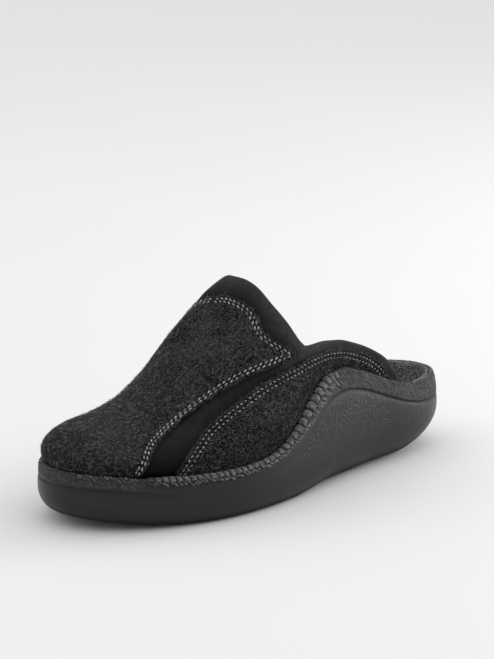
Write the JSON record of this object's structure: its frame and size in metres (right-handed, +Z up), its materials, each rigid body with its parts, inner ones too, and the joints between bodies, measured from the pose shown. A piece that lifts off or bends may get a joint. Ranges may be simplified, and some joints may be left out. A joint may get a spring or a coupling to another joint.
{
  "type": "mule slipper",
  "caption": "Left-foot felt mule slipper with a closed toe, an open heel, a raised throat and a moulded sole whose rim climbs the waist.",
  "frame": {"origin": "middle of the bounding box at floor level, under the sole", "axes": "+X towards the toe, +Y to the outer side of the foot, +Z up"},
  "size_m": [0.2848, 0.1052, 0.1192],
  "materials": {
    "sole_foam": "satin moulded foam rubber",
    "footbed_felt": "grey felt",
    "shell_microfibre": "black brushed microfibre",
    "panel_felt": "mottled charcoal felt"
  },
  "bodies": {
    "root": {"sole_unit": "sole_foam", "footbed": "footbed_felt", "upper": "shell_microfibre", "vamp_panel": "panel_felt", "quarter_panel_outer": "panel_felt", "quarter_panel_inner": "panel_felt"}
  },
  "joints": []
}
